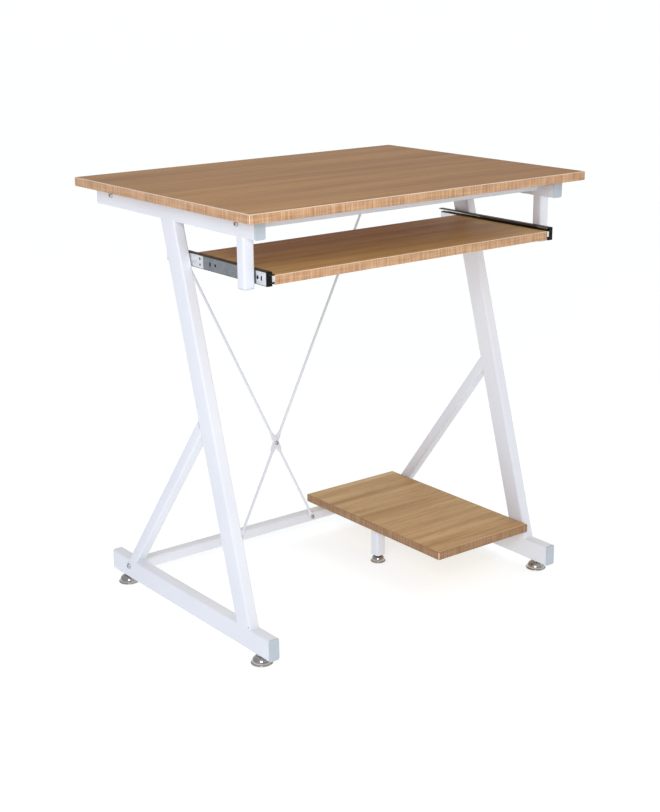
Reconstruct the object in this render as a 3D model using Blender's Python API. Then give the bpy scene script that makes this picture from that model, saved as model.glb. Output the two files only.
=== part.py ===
"""Computer desk with a pull-out keyboard tray and a low shelf for a computer.

Two Z-shaped side frames of rectangular steel tube carry a laminated board. Three crossbars and
a pair of crossed rods tie the frames together. The keyboard tray runs on ball-bearing slides.

Metres, +Z up. X runs across the desk (the shelf is on the +X side), the user sits on the -Y
side, and the origin is on the floor under the middle of the desktop.
"""

import math

import bmesh
import bpy
from mathutils import Matrix, Vector

# ---- driving dimensions ------------------------------------------------------------------

GAP = 0.0003  # between two pieces that touch
RUNNING_GAP = 0.0003  # round a shank or stud in its hole

DESK_WIDTH = 0.700
DESK_DEPTH = 0.525
DESK_HEIGHT = 0.740
PANEL_THICKNESS = 0.015

# steel tube
TUBE_WIDTH = 0.020  # along X, all the tubes of the side frames
TUBE_WALL = 0.0012
TUBE_CORNER = 0.0025
TOP_RAIL_HEIGHT = 0.030
FOOT_RAIL_HEIGHT = 0.038
LEG_DEPTH = 0.038
SQUARE_TUBE = 0.020  # rear brace, slide post, crossbars, shelf tubes
END_PLATE = 0.003  # welded into the ends of the bolted tubes

# side frames
FRAME_OVERHANG = 0.027  # desktop beyond a frame's outer face
TOP_RAIL_INSET = 0.0285  # desktop beyond each end of a top rail
FOOT_RAIL_INSET = 0.016
FOOT_CLEARANCE = 0.0162  # floor to the underside of a foot rail
LEG_SETBACK = 0.0725  # front end of the foot rail to the middle of the leg's base
LEG_LEAN = math.radians(16.14)
BRACE_SETBACK = 0.069  # rear end of the foot rail to the middle of the brace's base
BRACE_LEAN = math.radians(37.7)
POST_SETBACK = 0.039  # front end of the top rail to the middle of the slide post
POST_LENGTH = 0.078
CAP_FLANGE = 0.002
CAP_INSERT = 0.009

# crossbars
TOP_CROSSBAR_SETBACK = 0.0465  # end of the top rail to the middle of a crossbar
LOWER_CROSSBAR_SETBACK = 0.0545  # rear end of the foot rail to the middle of the crossbar
LOWER_CROSSBAR_HEIGHT = 0.039  # floor to its middle

# crossed rods
ROD_RADIUS = 0.0024
ROD_TAB_HALF_WIDTH = 0.0055
ROD_TAB_HALF_THICKNESS = 0.0013
ROD_TAB_LENGTH = 0.013
ROD_NECK = 0.008  # from round to flat
ROD_FOOT_OFFSET = 0.003  # a rod's lower bolt, inboard of the shelf's free edge
ROD_TOP_INSET = 0.053  # end of the rear crossbar to a rod's upper bolt

# bolts
FRAME_BOLT_RADIUS = 0.003
FRAME_BOLT_HEAD = 0.0052
FRAME_BOLT_HEAD_HEIGHT = 0.0026
FRAME_BOLT_REACH = 0.012  # past the frame, into the crossbar
ROD_BOLT_RADIUS = 0.002
ROD_BOLT_HEAD = 0.0042
ROD_BOLT_HEAD_HEIGHT = 0.0022
ROD_BOLT_REACH = 0.006

# levelling glides
GLIDE_RADIUS = 0.0185
SHELF_GLIDE_RADIUS = 0.0142
GLIDE_RIM = 0.002
GLIDE_COLLAR = 0.0025  # between the dome and the tube
GLIDE_COLLAR_RADIUS = 0.0065
STUD_RADIUS = 0.004
STUD_REACH = 0.020  # above the underside of its tube
GLIDE_SETBACK = 0.0345  # end of the foot rail to the middle of a glide
WELD_NUT_RADIUS = 0.0075
WELD_NUT_HEIGHT = 0.005

# keyboard tray and its slides
TRAY_DEPTH = 0.232
TRAY_SETBACK = 0.0265  # front edge of the desktop to the front edge of the tray
TRAY_DROP = 0.0855  # underside of the desktop to the top of the tray
TRAY_TRAVEL = 0.200
SLIDE_LENGTH = 0.280
SLIDE_HEIGHT = 0.0225
SLIDE_RISE = 0.0022  # middle of the slide above the middle of the tray
SLIDE_THICKNESS = 0.0134
SLIDE_STEEL = 0.0012
OUTER_DEPTH = 0.010
SLIDE_SLOT_WIDTH = 0.004
SLIDE_SLOT_LENGTH = 0.0078
SLIDE_SLOTS = (0.012, 0.152)  # from the front end of the slide
SLIDE_HOLES = (  # distance from the front end, height above the middle, radius
    (0.022, 0, 0.003), (0.137, 0, 0.0024), (0.181, 0.0045, 0.002), (0.181, -0.0045, 0.002),
    (0.262, 0, 0.0024),
)
OUTER_LIP = 0.0013
BALL_RADIUS = 0.0015
BALL_PLAY = 0.0002
INNER_FLANGE_DEPTH = 0.0092
CAGE_LENGTH = 0.060
CAGE_STEEL = 0.0008
CAGE_CLEAR_OF_BUMPER = 0.004
BALLS_PER_ROW = 4
BUMPER_FRONT = 0.003
BUMPER_INSERT = 0.004
BUMPER_FINGER = 0.0028

# low shelf
SHELF_WIDTH = 0.220
SHELF_DEPTH = 0.390
SHELF_TOP = 0.084
SHELF_REAR_OVERLAP = 0.0105  # shelf beyond the front face of the lower crossbar
SHELF_LEG_INSET = 0.011  # free edge of the shelf to the side of its leg
SHELF_LEG_CLEARANCE = 0.0145  # floor to the underside of the leg
SPACER_RADIUS = 0.005
SPACER_INSETS = (0.033, 0.153)  # from the shelf's edge beside the frame
BRACKET_THICKNESS = 0.0025
BRACKET_WIDTH = 0.030
BRACKET_BELOW_RAIL = 0.026

CORNER_STEPS = 3
ROUND_STEPS = 20

# ---- derived places ----------------------------------------------------------------------

panel_bottom = DESK_HEIGHT - PANEL_THICKNESS
outer_x = DESK_WIDTH / 2 - FRAME_OVERHANG
inner_x = outer_x - TUBE_WIDTH
frame_x = outer_x - TUBE_WIDTH / 2
rail_top = panel_bottom - GAP
rail_bottom = rail_top - TOP_RAIL_HEIGHT
rail_end = DESK_DEPTH / 2 - TOP_RAIL_INSET
foot_end = DESK_DEPTH / 2 - FOOT_RAIL_INSET
foot_bottom = FOOT_CLEARANCE
foot_top = foot_bottom + FOOT_RAIL_HEIGHT
leg_foot_y = -foot_end + LEG_SETBACK
brace_foot_y = foot_end - BRACE_SETBACK
post_y = -rail_end + POST_SETBACK
top_bar_y = rail_end - TOP_CROSSBAR_SETBACK
top_bar_z = rail_top - SQUARE_TUBE / 2
low_bar_y = foot_end - LOWER_CROSSBAR_SETBACK
low_bar_z = LOWER_CROSSBAR_HEIGHT
glide_y = foot_end - GLIDE_SETBACK

tray_top = panel_bottom - TRAY_DROP
tray_middle = tray_top - PANEL_THICKNESS / 2
tray_half_width = inner_x - SLIDE_THICKNESS - 2 * GAP
tray_front = -DESK_DEPTH / 2 + TRAY_SETBACK
slide_z = tray_middle + SLIDE_RISE
slide_front = tray_front + GAP + BUMPER_FRONT

shelf_bottom = SHELF_TOP - PANEL_THICKNESS
shelf_right = inner_x - GAP
shelf_left = shelf_right - SHELF_WIDTH
shelf_rear = low_bar_y - SQUARE_TUBE / 2 + SHELF_REAR_OVERLAP
shelf_y = shelf_rear - SHELF_DEPTH / 2
shelf_leg_x = shelf_left + SHELF_LEG_INSET + SQUARE_TUBE / 2
shelf_tube_top = shelf_bottom - GAP

UP = Vector((0, 0, 1))
RIGHT = Vector((1, 0, 0))
BACK = Vector((0, 1, 0))
leg_direction = Vector((0, math.sin(LEG_LEAN), math.cos(LEG_LEAN)))
leg_rear_normal = Vector((0, math.cos(LEG_LEAN), -math.sin(LEG_LEAN)))
leg_foot = Vector((0, leg_foot_y, foot_top))

for thing in list(bpy.data.objects):
    bpy.data.objects.remove(thing, do_unlink=True)

# ---- materials ---------------------------------------------------------------------------


def material(name, colour, roughness, metallic):
    made = bpy.data.materials.new(name)
    made.use_nodes = True
    shader = made.node_tree.nodes["Principled BSDF"]
    shader.inputs["Base Color"].default_value = (*colour, 1.0)
    shader.inputs["Roughness"].default_value = roughness
    shader.inputs["Metallic"].default_value = metallic
    made.diffuse_color = (*colour, 1.0)
    return made


FINISHES = {
    "laminate": ((0.47, 0.28, 0.15), 0.45, 0.0),
    "powder_coat": ((0.80, 0.82, 0.86), 0.40, 0.0),
    "white_plastic": ((0.78, 0.80, 0.83), 0.50, 0.0),
    "black_plastic": ((0.015, 0.015, 0.016), 0.45, 0.0),
    "zinc": ((0.55, 0.56, 0.57), 0.35, 1.0),
    "chrome": ((0.62, 0.60, 0.56), 0.12, 1.0),
}


def finish(obj, kind):
    """Gives one piece a material of its own, in the colour of its finish."""
    colour, roughness, metallic = FINISHES[kind]
    obj.data.materials.append(material(f"{obj.name}_{kind}", colour, roughness, metallic))
    return obj


# ---- mesh helpers ------------------------------------------------------------------------


def piece(name, bm, kind, smooth=False):
    """One named object from a finished bmesh, with its normals out."""
    bmesh.ops.recalc_face_normals(bm, faces=bm.faces)
    mesh = bpy.data.meshes.new(name)
    bm.to_mesh(mesh)
    bm.free()
    obj = bpy.data.objects.new(name, mesh)
    bpy.context.scene.collection.objects.link(obj)
    if smooth:
        mesh.shade_smooth()
        mesh.set_sharp_from_angle(angle=math.radians(35))
    if kind:
        finish(obj, kind)
    return obj


def boolean(target, tool, operation="DIFFERENCE"):
    """Cuts a hidden tool from the target, or joins it on."""
    tool.hide_render = True
    tool.display_type = "WIRE"
    modifier = target.modifiers.new(tool.name, "BOOLEAN")
    modifier.operation = operation
    modifier.object = tool
    return target


def rounded_outline(width, height, radius, steps=CORNER_STEPS):
    """Points of a rounded rectangle round the origin, anticlockwise."""
    points = []
    for corner in range(4):
        middle = Vector((
            (width / 2 - radius) * (1 if corner in (0, 3) else -1),
            (height / 2 - radius) * (1 if corner in (0, 1) else -1),
        ))
        for step in range(steps + 1):
            angle = math.radians(90 * (corner + step / steps))
            points.append(middle + radius * Vector((math.cos(angle), math.sin(angle))))
    return points


def ring_on_plane(bm, outline, centre, across, other, direction, plane_point, plane_normal):
    """The outline carried along the direction until it meets a plane."""
    ring = []
    for point in outline:
        start = centre + across * point.x + other * point.y
        reach = (plane_point - start).dot(plane_normal) / direction.dot(plane_normal)
        ring.append(bm.verts.new(start + direction * reach))
    return ring


def bridge(bm, first, second):
    count = len(first)
    for i in range(count):
        j = (i + 1) % count
        bm.faces.new((first[i], first[j], second[j], second[i]))


def cut_tube(name, size, centre, across, direction, start, end, kind="powder_coat"):
    """Rectangular tube through a point, each end cut on its plane (point, normal), both open."""
    other = direction.cross(across)
    outside = rounded_outline(size[0], size[1], TUBE_CORNER)
    inside = rounded_outline(
        size[0] - 2 * TUBE_WALL, size[1] - 2 * TUBE_WALL, TUBE_CORNER - TUBE_WALL
    )
    bm = bmesh.new()
    rings = [
        ring_on_plane(bm, outline, centre, across, other, direction, *plane)
        for outline, plane in ((outside, start), (outside, end), (inside, end), (inside, start))
    ]
    for i in range(4):
        bridge(bm, rings[i], rings[(i + 1) % 4])
    return piece(name, bm, kind, smooth=True)


def prism(name, outline, origin, across, up, length, kind, smooth=False):
    """A flat outline, in the across and up directions, carried a length along their cross."""
    along = across.cross(up) * length
    bm = bmesh.new()
    near = [bm.verts.new(origin + across * x + up * y) for x, y in outline]
    far = [bm.verts.new(vertex.co + along) for vertex in near]
    bm.faces.new(near)
    bm.faces.new(far)
    bridge(bm, near, far)
    return piece(name, bm, kind, smooth)


def box(name, low, high, kind=None):
    bm = bmesh.new()
    middle = (Vector(low) + Vector(high)) / 2
    size = Vector(high) - Vector(low)
    bmesh.ops.create_cube(bm, size=1, matrix=Matrix.Translation(middle) @ Matrix.Diagonal((*size, 1)))
    return piece(name, bm, kind)


def rod_tool(name, radius, start, end, steps=ROUND_STEPS):
    """A plain round bar from start to end: a cutter, or a boss to join on."""
    direction = Vector(end) - Vector(start)
    turn = direction.to_track_quat("Z", "Y").to_matrix().to_4x4()
    place = Matrix.Translation((Vector(start) + Vector(end)) / 2) @ turn
    bm = bmesh.new()
    bmesh.ops.create_cone(
        bm, cap_ends=True, segments=steps, radius1=radius, radius2=radius,
        depth=direction.length, matrix=place,
    )
    return piece(name, bm, None)


def turned(name, profile, origin, axis, kind, steps=ROUND_STEPS):
    """A profile of (radius, height) points turned about an axis; both ends lie on the axis."""
    turn = Vector(axis).to_track_quat("Z", "Y").to_matrix()
    bm = bmesh.new()
    rings = []
    for radius, height in profile:
        if radius == 0:
            rings.append([bm.verts.new(turn @ Vector((0, 0, height)))])
            continue
        angles = [2 * math.pi * i / steps for i in range(steps)]
        rings.append([
            bm.verts.new(turn @ Vector((radius * math.cos(a), radius * math.sin(a), height)))
            for a in angles
        ])
    for first, second in zip(rings, rings[1:]):
        if len(first) == 1 or len(second) == 1:
            tip, ring = (first, second) if len(first) == 1 else (second, first)
            for i in range(steps):
                bm.faces.new((tip[0], ring[i], ring[(i + 1) % steps]))
        else:
            bridge(bm, first, second)
    obj = piece(name, bm, kind, smooth=True)
    obj.location = origin
    return obj


# ---- boards ------------------------------------------------------------------------------


def board(name, low, high):
    """Laminated board with its edges eased by half a millimetre."""
    obj = box(name, low, high, "laminate")
    bevel = obj.modifiers.new("eased_edges", "BEVEL")
    bevel.width = 0.0005
    bevel.segments = 1
    return obj


def make_boards():
    board(
        "desktop_panel",
        (-DESK_WIDTH / 2, -DESK_DEPTH / 2, panel_bottom),
        (DESK_WIDTH / 2, DESK_DEPTH / 2, DESK_HEIGHT),
    )
    board(
        "keyboard_tray",
        (-tray_half_width, tray_front, tray_top - PANEL_THICKNESS),
        (tray_half_width, tray_front + TRAY_DEPTH, tray_top),
    )
    board(
        "cpu_shelf",
        (shelf_left, shelf_rear - SHELF_DEPTH, shelf_bottom),
        (shelf_right, shelf_rear, SHELF_TOP),
    )


# ---- side frames -------------------------------------------------------------------------


def plug_cap(name, centre, outward, size):
    """Plastic end cap: a flange over the tube's end and a plug inside it."""
    across = RIGHT
    up = outward.cross(across)
    plug = rounded_outline(
        size[0] - 2 * (TUBE_WALL + GAP), size[1] - 2 * (TUBE_WALL + GAP), TUBE_CORNER - TUBE_WALL
    )
    flange = rounded_outline(size[0], size[1], TUBE_CORNER)
    crown = rounded_outline(size[0] - 0.0016, size[1] - 0.0016, TUBE_CORNER - 0.0004)
    levels = (
        (plug, -CAP_INSERT), (plug, GAP), (flange, GAP),
        (flange, CAP_FLANGE - 0.0006), (crown, CAP_FLANGE),
    )
    bm = bmesh.new()
    rings = [
        [bm.verts.new(centre + across * p.x + up * p.y + outward * level) for p in outline]
        for outline, level in levels
    ]
    for first, second in zip(rings, rings[1:]):
        bridge(bm, first, second)
    bm.faces.new(rings[0])
    bm.faces.new(rings[-1])
    return piece(name, bm, "white_plastic", smooth=True)


def cross_hole(target, label, y, z, radius, side):
    """A hole along X through one frame tube."""
    x = side * frame_x
    reach = TUBE_WIDTH
    tool = rod_tool(f"cut_{target.name}_{label}", radius, (x - reach, y, z), (x + reach, y, z))
    boolean(target, tool)


def make_foot_rail(side, label):
    centre = Vector((side * frame_x, 0, (foot_bottom + foot_top) / 2))
    ends = [(Vector((0, y, 0)), BACK) for y in (-foot_end, foot_end)]
    size = (TUBE_WIDTH, FOOT_RAIL_HEIGHT)
    rail = cut_tube(f"foot_rail_{label}", size, centre, RIGHT, BACK, *ends)
    for end, y in (("front", -glide_y), ("rear", glide_y)):
        x = side * frame_x
        wall_middle = foot_bottom + TUBE_WALL / 2
        nut_top = foot_bottom + TUBE_WALL + WELD_NUT_HEIGHT
        nut = rod_tool(f"nut_{end}_{label}", WELD_NUT_RADIUS, (x, y, wall_middle), (x, y, nut_top), 6)
        boolean(rail, nut, "UNION")
        hole = rod_tool(
            f"cut_stud_{end}_{label}", STUD_RADIUS + RUNNING_GAP,
            (x, y, foot_bottom - 0.01), (x, y, nut_top + 0.002),
        )
        boolean(rail, hole)
    cross_hole(rail, "bolt", low_bar_y, low_bar_z, FRAME_BOLT_RADIUS + RUNNING_GAP, side)
    if side > 0:
        z = (foot_bottom + foot_top) / 2
        cross_hole(rail, "shelf_bolt", shelf_y, z, FRAME_BOLT_RADIUS + RUNNING_GAP, side)
    for end, y, out in (("front", -foot_end, -BACK), ("rear", foot_end, BACK)):
        plug_cap(f"foot_cap_{end}_{label}", Vector((centre.x, y, centre.z)), out, size)


def make_top_rail(side, label):
    centre = Vector((side * frame_x, 0, (rail_bottom + rail_top) / 2))
    ends = [(Vector((0, y, 0)), BACK) for y in (-rail_end, rail_end)]
    size = (TUBE_WIDTH, TOP_RAIL_HEIGHT)
    rail = cut_tube(f"top_rail_{label}", size, centre, RIGHT, BACK, *ends)
    for end, y in (("front", -top_bar_y), ("rear", top_bar_y)):
        cross_hole(rail, end, y, top_bar_z, FRAME_BOLT_RADIUS + RUNNING_GAP, side)
    for end, y, out in (("front", -rail_end, -BACK), ("rear", rail_end, BACK)):
        plug_cap(f"top_cap_{end}_{label}", Vector((centre.x, y, centre.z)), out, size)


def make_leg_and_brace(side, label):
    """The leaning leg between the rails, and the brace behind it, mitred to the leg's rear face."""
    across = RIGHT
    x = Vector((side * frame_x, 0, 0))
    floor_cut = (Vector((0, 0, foot_top + GAP)), UP)
    cut_tube(
        f"main_leg_{label}", (TUBE_WIDTH, LEG_DEPTH), leg_foot + x, across, leg_direction,
        floor_cut, (Vector((0, 0, rail_bottom - GAP)), UP),
    )
    lean = Vector((0, -math.sin(BRACE_LEAN), math.cos(BRACE_LEAN)))
    leg_rear = leg_foot + leg_rear_normal * (LEG_DEPTH / 2 + GAP)
    cut_tube(
        f"rear_brace_{label}", (TUBE_WIDTH, SQUARE_TUBE),
        Vector((side * frame_x, brace_foot_y, foot_top)), across, lean,
        floor_cut, (leg_rear, leg_rear_normal),
    )


def make_slide_post(side, label):
    centre = Vector((side * frame_x, post_y, rail_bottom))
    bottom = rail_bottom - POST_LENGTH
    cut_tube(
        f"slide_post_{label}", (TUBE_WIDTH, SQUARE_TUBE), centre, RIGHT, UP,
        (Vector((0, 0, bottom)), UP), (Vector((0, 0, rail_bottom - GAP)), UP),
    )
    end = Vector((centre.x, post_y, bottom))
    plug_cap(f"post_cap_{label}", end, -UP, (TUBE_WIDTH, SQUARE_TUBE))


# ---- crossbars and bolts -----------------------------------------------------------------


def crossbar(name, y, z, kind="powder_coat"):
    """Square tube between the frames, with a tapped plate welded into each end."""
    half = inner_x - GAP
    outline = rounded_outline(SQUARE_TUBE, SQUARE_TUBE, TUBE_CORNER)
    inside = rounded_outline(
        SQUARE_TUBE - 2 * TUBE_WALL, SQUARE_TUBE - 2 * TUBE_WALL, TUBE_CORNER - TUBE_WALL
    )
    bar = prism(name, outline, Vector((-half, y, z)), BACK, UP, 2 * half, kind, smooth=True)
    room = half - END_PLATE
    hollow = prism(f"cut_{name}", inside, Vector((-room, y, z)), BACK, UP, 2 * room, None)
    boolean(bar, hollow)
    for side in (-1, 1):
        hole = rod_tool(
            f"cut_{name}_end_{side}", FRAME_BOLT_RADIUS + RUNNING_GAP,
            (side * (room - 0.002), y, z), (side * (half + 0.002), y, z),
        )
        boolean(bar, hole)
    return bar


def bolt(name, seat, outward, head, shank, kind="zinc"):
    """Button-head bolt: seat is under the head, the shank runs the other way."""
    radius, height = head
    shank_radius, shank_length = shank
    socket = radius * 0.42
    depth = height * 0.55
    profile = [
        (0, -shank_length), (shank_radius, -shank_length), (shank_radius, 0), (radius, 0),
        (radius, height * 0.25), (radius * 0.86, height * 0.72), (radius * 0.55, height),
        (socket, height), (socket, height - depth), (0, height - depth),
    ]
    return turned(name, profile, seat, outward, kind, steps=12)


def make_frame_bolts():
    head = (FRAME_BOLT_HEAD, FRAME_BOLT_HEAD_HEIGHT)
    shank = (FRAME_BOLT_RADIUS, TUBE_WIDTH + GAP + FRAME_BOLT_REACH)
    for side, label in ((-1, "left"), (1, "right")):
        seat_x = side * (outer_x + GAP)
        places = (
            ("foot_bolt", low_bar_y, low_bar_z),
            ("top_bolt_front", -top_bar_y, top_bar_z),
            ("top_bolt_rear", top_bar_y, top_bar_z),
        )
        for name, y, z in places:
            bolt(f"{name}_{label}", (seat_x, y, z), (side, 0, 0), head, shank)


# ---- crossed rods ------------------------------------------------------------------------

rod_foot_x = shelf_left + ROD_FOOT_OFFSET
rod_top_x = inner_x - ROD_TOP_INSET
low_face_y = low_bar_y - SQUARE_TUBE / 2
top_face_y = top_bar_y - SQUARE_TUBE / 2
rod_rise = top_bar_z - low_bar_z
rod_run = rod_foot_x + rod_top_x
rod_cross_z = low_bar_z + rod_rise * rod_foot_x / rod_run
tab_offset = GAP + ROD_TAB_HALF_THICKNESS
rod_offset = GAP + ROD_RADIUS
centre_tab_shift = ROD_TAB_HALF_THICKNESS + GAP / 2


def face_at(z):
    """The Y of the plane through the front faces of the lower and the rear upper crossbar."""
    return low_face_y + (top_face_y - low_face_y) * (z - low_bar_z) / rod_rise


def rod_section(bm, centre, side_way, flatness):
    """One ring, from round (0) to a flat tab (1), facing -Y."""
    wide = ROD_RADIUS + (ROD_TAB_HALF_WIDTH - ROD_RADIUS) * flatness
    thick = ROD_RADIUS + (ROD_TAB_HALF_THICKNESS - ROD_RADIUS) * flatness
    power = 1 - 0.55 * flatness
    ring = []
    for i in range(12):
        angle = 2 * math.pi * (i + 0.5) / 12
        c, s = math.cos(angle), math.sin(angle)
        w = math.copysign(abs(c) ** power, c) * wide
        t = math.copysign(abs(s) ** power, s) * thick
        ring.append(bm.verts.new(centre + side_way * w + BACK * t))
    return ring


def make_rod(name, foot, top, centre_shift):
    """Round rod, pressed flat at both ends and where it crosses the other."""
    along = (top - foot).normalized()
    side_way = along.cross(BACK)
    length = (top - foot).length
    cross_at = length * rod_foot_x / rod_run
    half = ROD_TAB_LENGTH / 2
    neck = ROD_NECK
    middle = rod_offset - centre_shift
    stations = (
        (-half, 1, tab_offset), (half, 1, tab_offset), (half + neck, 0, rod_offset),
        (cross_at - 2 * half - neck, 0, rod_offset), (cross_at - 2 * half, 1, middle),
        (cross_at + 2 * half, 1, middle), (cross_at + 2 * half + neck, 0, rod_offset),
        (length - half - neck, 0, rod_offset), (length - half, 1, tab_offset),
        (length + half, 1, tab_offset),
    )
    bm = bmesh.new()
    rings = []
    for reach, flatness, offset in stations:
        centre = foot + along * reach
        centre.y = face_at(centre.z) - offset
        rings.append(rod_section(bm, centre, side_way, flatness))
    for first, second in zip(rings, rings[1:]):
        bridge(bm, first, second)
    bm.faces.new(rings[0])
    bm.faces.new(rings[-1])
    rod = piece(name, bm, "powder_coat", smooth=True)
    holes = ((foot.x, foot.z), (0, rod_cross_z), (top.x, top.z))
    for i, (x, z) in enumerate(holes):
        y = face_at(z)
        hole = rod_tool(
            f"cut_{name}_{i}", ROD_BOLT_RADIUS + RUNNING_GAP,
            (x, y - SQUARE_TUBE, z), (x, y + SQUARE_TUBE, z), 12,
        )
        boolean(rod, hole)
    return rod


def make_rods(low_bar, rear_bar):
    head = (ROD_BOLT_HEAD, ROD_BOLT_HEAD_HEIGHT)
    shank = (ROD_BOLT_RADIUS, 2 * ROD_TAB_HALF_THICKNESS + 2 * GAP + ROD_BOLT_REACH)
    seat_offset = tab_offset + ROD_TAB_HALF_THICKNESS + GAP
    rods = ((1, "rising_left", -centre_tab_shift), (-1, "rising_right", centre_tab_shift))
    for side, label, shift in rods:
        foot = Vector((side * rod_foot_x, 0, low_bar_z))
        top = Vector((-side * rod_top_x, 0, top_bar_z))
        make_rod(f"brace_rod_{label}", foot, top, shift)
        for end, point, bar in (("foot", foot, low_bar), ("top", top, rear_bar)):
            face = face_at(point.z)
            seat = (point.x, face - seat_offset, point.z)
            bolt(f"rod_bolt_{end}_{label}", seat, (0, -1, 0), head, shank)
            hole = rod_tool(
                f"cut_{bar.name}_{label}", ROD_BOLT_RADIUS + RUNNING_GAP,
                seat, (point.x, face + SQUARE_TUBE / 2, point.z), 12,
            )
            boolean(bar, hole)
    front = face_at(rod_cross_z) - rod_offset - centre_tab_shift - ROD_TAB_HALF_THICKNESS - GAP
    centre_shank = (ROD_BOLT_RADIUS, 4 * ROD_TAB_HALF_THICKNESS + 3 * GAP)
    bolt("brace_centre_rivet", (0, front, rod_cross_z), (0, -1, 0), head, centre_shank)


# ---- glides ------------------------------------------------------------------------------


def glide(name, x, y, radius, tube_bottom, reach):
    """Pressed-metal domed foot on a threaded stud; its origin is on the stud's axis."""
    top = tube_bottom - GAP
    dome = top - GLIDE_COLLAR - GLIDE_RIM
    shoulder = radius - 0.0008
    profile = [(0, 0), (shoulder, 0), (radius, 0.0006), (radius, GLIDE_RIM)]
    for i in range(6):
        angle = math.pi / 2 * i / 5
        spread = GLIDE_COLLAR_RADIUS + (shoulder - GLIDE_COLLAR_RADIUS) * math.cos(angle)
        profile.append((spread, GLIDE_RIM + dome * math.sin(angle)))
    profile += [(GLIDE_COLLAR_RADIUS, top), (STUD_RADIUS, top)]
    profile += [(STUD_RADIUS, tube_bottom + reach), (0, tube_bottom + reach)]
    return turned(name, profile, (x, y, 0), (0, 0, 1), "chrome", steps=24)


def make_glides():
    for side, label in ((-1, "left"), (1, "right")):
        for end, y in (("front", -glide_y), ("rear", glide_y)):
            name = f"glide_{end}_{label}"
            glide(name, side * frame_x, y, GLIDE_RADIUS, foot_bottom, STUD_REACH)
    glide(
        "glide_shelf", shelf_leg_x, shelf_y, SHELF_GLIDE_RADIUS, SHELF_LEG_CLEARANCE, STUD_REACH
    )


# ---- shelf supports ----------------------------------------------------------------------


def make_shelf_supports(low_bar):
    size = (SQUARE_TUBE, SQUARE_TUBE)
    leg_centre = Vector((shelf_leg_x, shelf_y, SHELF_LEG_CLEARANCE))
    height = shelf_tube_top - SHELF_LEG_CLEARANCE
    outline = rounded_outline(*size, TUBE_CORNER)
    inside = rounded_outline(
        SQUARE_TUBE - 2 * TUBE_WALL, SQUARE_TUBE - 2 * TUBE_WALL, TUBE_CORNER - TUBE_WALL
    )
    leg = prism("shelf_leg", outline, leg_centre, RIGHT, BACK, height, "powder_coat", smooth=True)
    above_plate = leg_centre + UP * END_PLATE
    boolean(leg, prism("cut_shelf_leg", inside, above_plate, RIGHT, BACK, height, None))
    stud_hole = rod_tool(
        "cut_shelf_stud", STUD_RADIUS + RUNNING_GAP,
        leg_centre - UP * 0.01, above_plate + UP * 0.002,
    )
    boolean(leg, stud_hole)

    bracket_x = inner_x - GAP - BRACKET_THICKNESS
    rail_centre = Vector((0, shelf_y, shelf_tube_top - SQUARE_TUBE / 2))
    cut_tube(
        "shelf_support_rail", size, rail_centre, BACK, RIGHT,
        (Vector((shelf_leg_x + SQUARE_TUBE / 2 + GAP, 0, 0)), RIGHT),
        (Vector((bracket_x - GAP, 0, 0)), RIGHT),
    )

    low = shelf_tube_top - SQUARE_TUBE - BRACKET_BELOW_RAIL
    plate_height = shelf_tube_top - low
    plate = prism(
        "shelf_bracket", rounded_outline(BRACKET_WIDTH, plate_height, 0.004),
        Vector((bracket_x, shelf_y, low + plate_height / 2)), BACK, UP, BRACKET_THICKNESS,
        "powder_coat",
    )
    bolt_z = (foot_bottom + foot_top) / 2
    hole_radius = FRAME_BOLT_RADIUS + RUNNING_GAP
    boolean(plate, rod_tool(
        "cut_shelf_bracket", hole_radius,
        (bracket_x - 0.01, shelf_y, bolt_z), (inner_x + 0.001, shelf_y, bolt_z),
    ))
    shank = (FRAME_BOLT_RADIUS, BRACKET_THICKNESS + 2 * GAP + TUBE_WIDTH + 0.002)
    bolt(
        "shelf_bracket_bolt", (bracket_x - GAP, shelf_y, bolt_z), (-1, 0, 0),
        (FRAME_BOLT_HEAD, FRAME_BOLT_HEAD_HEIGHT), shank,
    )

    bar_top = low_bar_z + SQUARE_TUBE / 2 + GAP
    for i, inset in enumerate(SPACER_INSETS):
        x = shelf_right - inset
        y = low_face_y + GAP + SPACER_RADIUS
        name = f"shelf_spacer_{('right', 'left')[i]}"
        spacer = rod_tool(name, SPACER_RADIUS, (x, y, bar_top), (x, y, shelf_tube_top))
        finish(spacer, "white_plastic")
        boolean(spacer, rod_tool(
            f"cut_{name}", ROD_BOLT_RADIUS, (x, y, bar_top - 0.01), (x, y, shelf_bottom), 12
        ))


# ---- keyboard slides ---------------------------------------------------------------------

flange_inner = SLIDE_HEIGHT / 2 - SLIDE_STEEL  # running face of the outer member
ball_z = flange_inner - BALL_PLAY - BALL_RADIUS
inner_half = ball_z - BALL_RADIUS - BALL_PLAY  # running face of the inner member
inner_web_out = SLIDE_THICKNESS
inner_web_in = inner_web_out - SLIDE_STEEL
inner_flange_start = inner_web_out - INNER_FLANGE_DEPTH
ball_depth = (inner_flange_start + OUTER_DEPTH) / 2


def slide_prism(name, outline, side, front, length, kind):
    """Extrudes an outline of (distance from the frame, height) back along +Y."""
    origin = Vector((side * (inner_x - GAP), front, slide_z))
    bm = bmesh.new()
    near = [bm.verts.new(origin + Vector((-side * u, 0, v))) for u, v in outline]
    far = [bm.verts.new(vertex.co + Vector((0, length, 0))) for vertex in near]
    bm.faces.new(near)
    bm.faces.new(far)
    bridge(bm, near, far)
    return piece(name, bm, kind)


def mirrored(half):
    """Closes an upper half outline with its mirror image below."""
    return half + [(u, -v) for u, v in reversed(half)]


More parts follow.
